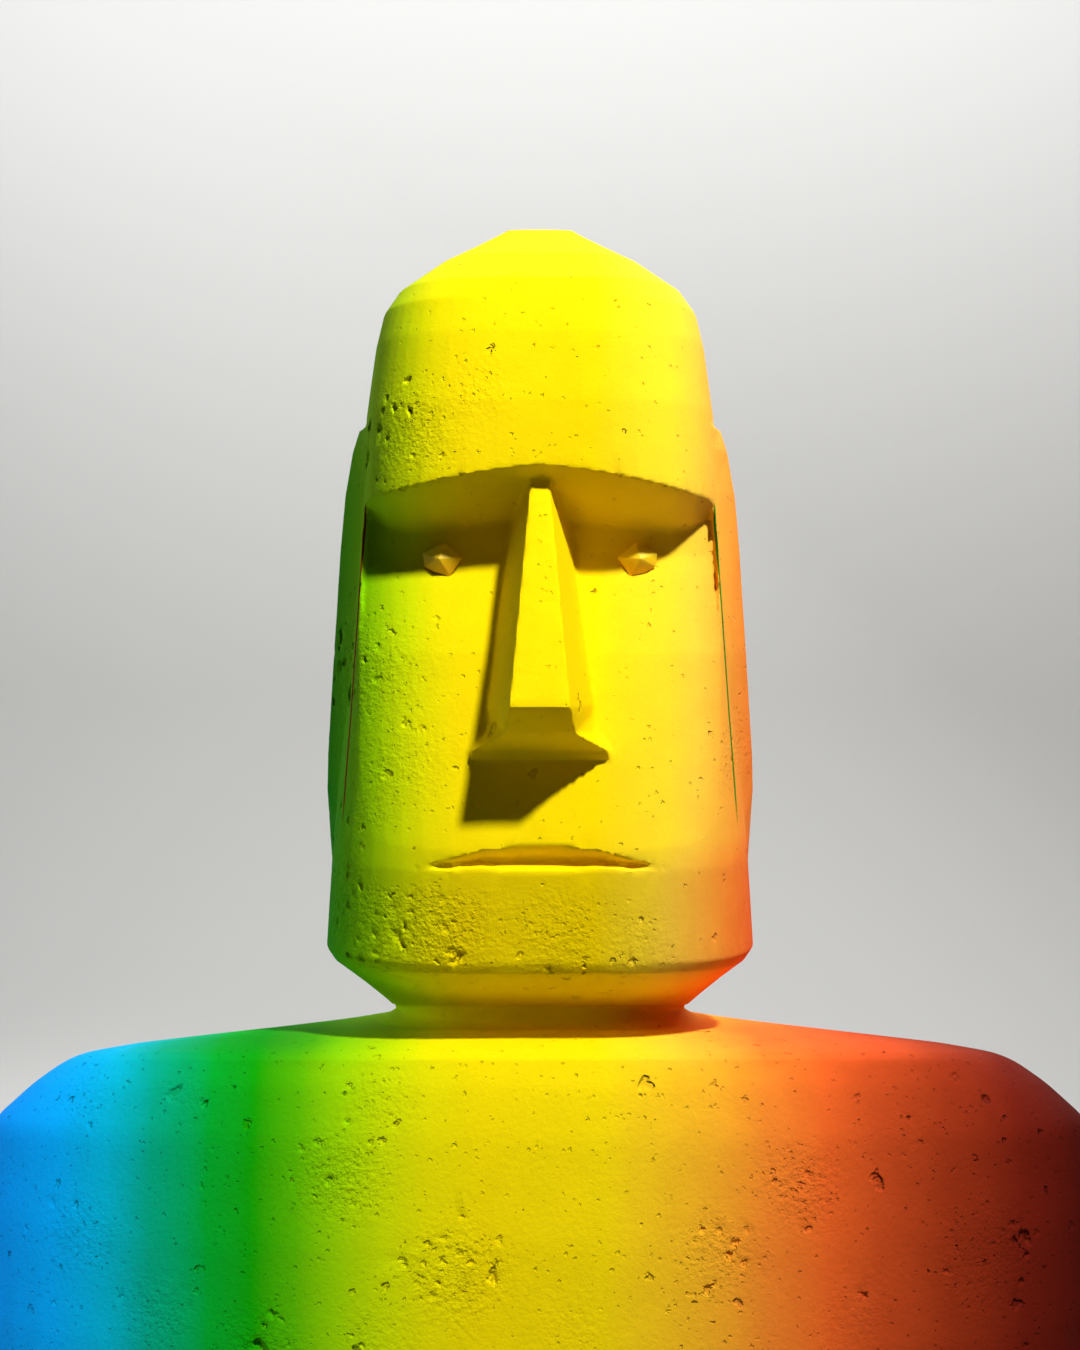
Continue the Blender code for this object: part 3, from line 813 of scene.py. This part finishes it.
@dataclass
class Studio:
    """A pale sweep, one soft key light, fills, and the camera."""

    centre: tuple[float, float, float] = (0.0, -0.35, 3.2)
    camera_distance: float = 3.876
    camera_height: float = 3.08
    focal_pixels: float = 1875.0
    key_power: float = 2400.0
    key_azimuth: float = 32.0
    key_elevation: float = 50.5
    key_distance: float = 6.5
    soft_distance: float = 6.5
    fill_power: float = 1.0
    side_power: float = 45.0
    back_power: float = 150.0
    backdrop_power: float = 560.0
    backdrop_place: tuple[float, float, float] = (0.0, 3.2, 9.0)
    backdrop_target: tuple[float, float, float] = (0.0, 7.0, 2.4)
    edge_power: float = 420.0
    edge_place: tuple[float, float, float] = (-5.6, -3.4, 2.6)
    edge_target: tuple[float, float, float] = (-1.05, -0.2, 1.75)
    world_strength: float = 0.01

    def sweep(self) -> bpy.types.Object:
        """Make the floor that curves up into a backdrop.

        Returns:
            The floor.
        """
        profile = [(-14.0, 0.0)]
        radius, back = 3.0, 7.0
        for step in range(25):
            angle = math.radians(90 * step / 24)
            profile.append((back - radius + radius * math.sin(angle), radius - radius * math.cos(angle)))
        profile.append((back, 12.0))
        vertices, faces = [], []
        for y, z in profile:
            vertices += [(-16.0, y, z), (16.0, y, z)]
        for index in range(len(profile) - 1):
            first = 2 * index
            faces.append((first, first + 1, first + 3, first + 2))
        mesh = bpy.data.meshes.new("floor")
        mesh.from_pydata(vertices, [], faces)
        mesh.shade_smooth()
        material = bpy.data.materials.new("pale_floor")
        material.use_nodes = True
        shader = material.node_tree.nodes["Principled BSDF"]
        shader.inputs["Base Color"].default_value = (0.74, 0.74, 0.73, 1.0)
        shader.inputs["Roughness"].default_value = 0.9
        mesh.materials.append(material)
        floor = bpy.data.objects.new("floor", mesh)
        bpy.context.scene.collection.objects.link(floor)
        return floor

    def hang(self, light: bpy.types.Light, azimuth: float, elevation: float, distance: float) -> None:
        """Hang a light so that it points at the figure.

        Args:
            light: The light.
            azimuth: Degrees towards the viewer's right, seen from the figure.
            elevation: Degrees above the level of the face.
            distance: How far it is, in metres.
        """
        lamp = bpy.data.objects.new(light.name, light)
        bpy.context.scene.collection.objects.link(lamp)
        around, up = math.radians(azimuth), math.radians(elevation)
        way = Vector((math.cos(up) * math.sin(around), -math.cos(up) * math.cos(around), math.sin(up)))
        lamp.location = Vector(self.centre) + way * distance
        lamp.rotation_euler = (-way).to_track_quat("-Z", "Y").to_euler()

    def key(self) -> None:
        """The main light, from the upper right in front, wide enough for soft shadow edges."""
        light = bpy.data.lights.new("key", "SPOT")
        light.energy = self.key_power
        light.shadow_soft_size = 0.24
        light.spot_size = math.radians(40)
        light.spot_blend = 0.5
        self.hang(light, self.key_azimuth, self.key_elevation, self.key_distance)

    def edge_light(self) -> None:
        """A narrow light that lifts the blue edge of the shoulder, clear of the face."""
        light = bpy.data.lights.new("edge", "SPOT")
        light.energy = self.edge_power
        light.shadow_soft_size = 0.4
        light.spot_size = math.radians(26)
        light.spot_blend = 1.0
        lamp = bpy.data.objects.new("edge", light)
        bpy.context.scene.collection.objects.link(lamp)
        lamp.location = self.edge_place
        way = Vector(self.edge_target) - lamp.location
        lamp.rotation_euler = way.to_track_quat("-Z", "Y").to_euler()

    def soft_lamp(self, name: str, azimuth: float, elevation: float, power: float) -> None:
        """A large soft lamp.

        Args:
            name: The lamp's name.
            azimuth: Degrees towards the viewer's right, seen from the figure.
            elevation: Degrees above the level of the face.
            power: How strong it is, in watts.
        """
        light = bpy.data.lights.new(name, "AREA")
        light.shape = "DISK"
        light.size = 4.0
        light.energy = power
        self.hang(light, azimuth, elevation, self.soft_distance)

    def backdrop_lamp(self) -> None:
        """Light the backdrop evenly from above, out of the camera's view."""
        light = bpy.data.lights.new("backdrop", "AREA")
        light.shape = "RECTANGLE"
        light.size = 12.0
        light.size_y = 1.5
        light.energy = self.backdrop_power
        lamp = bpy.data.objects.new("backdrop", light)
        bpy.context.scene.collection.objects.link(lamp)
        lamp.location = self.backdrop_place
        way = Vector(self.backdrop_target) - lamp.location
        lamp.rotation_euler = way.to_track_quat("-Z", "Y").to_euler()

    def world(self) -> None:
        """Fill the room with even pale light."""
        world = bpy.data.worlds.new("studio")
        world.use_nodes = True
        background = world.node_tree.nodes["Background"]
        background.inputs["Color"].default_value = (1.0, 1.0, 1.0, 1.0)
        background.inputs["Strength"].default_value = self.world_strength
        bpy.context.scene.world = world

    def camera(self) -> None:
        """Stand the camera where the picture was taken from."""
        data = bpy.data.cameras.new("camera")
        data.sensor_fit = "VERTICAL"
        data.sensor_height = 36.0
        data.lens = self.focal_pixels / PICTURE_HEIGHT * 36.0
        camera = bpy.data.objects.new("camera", data)
        bpy.context.scene.collection.objects.link(camera)
        camera.location = (0.0, -self.camera_distance, self.camera_height)
        camera.rotation_euler = (math.pi / 2, 0.0, 0.0)
        bpy.context.scene.camera = camera

    def build(self) -> None:
        """Set up floor, lights and camera."""
        self.sweep()
        self.world()
        self.camera()
        self.key()
        self.edge_light()
        self.soft_lamp("fill", -58.0, 18.0, self.fill_power)
        self.soft_lamp("side", -105.0, 15.0, self.side_power)
        self.soft_lamp("back", 150.0, 30.0, self.back_power)
        self.backdrop_lamp()
        view = bpy.context.scene.view_settings
        view.view_transform = "Standard"
        view.look = "None"
        view.exposure = 0.0
        view.gamma = 1.0


def main() -> None:
    """Build the figure, its eyes and the studio in order."""
    logging.basicConfig(level=logging.INFO, format="%(name)s %(message)s")
    figure = Figure().build()
    eyes = Eyes().build()
    LOG.info("pieces: %s", ", ".join(piece.name for piece in [figure, *eyes]))
    Studio().build()


if __name__ == "__main__":
    main()
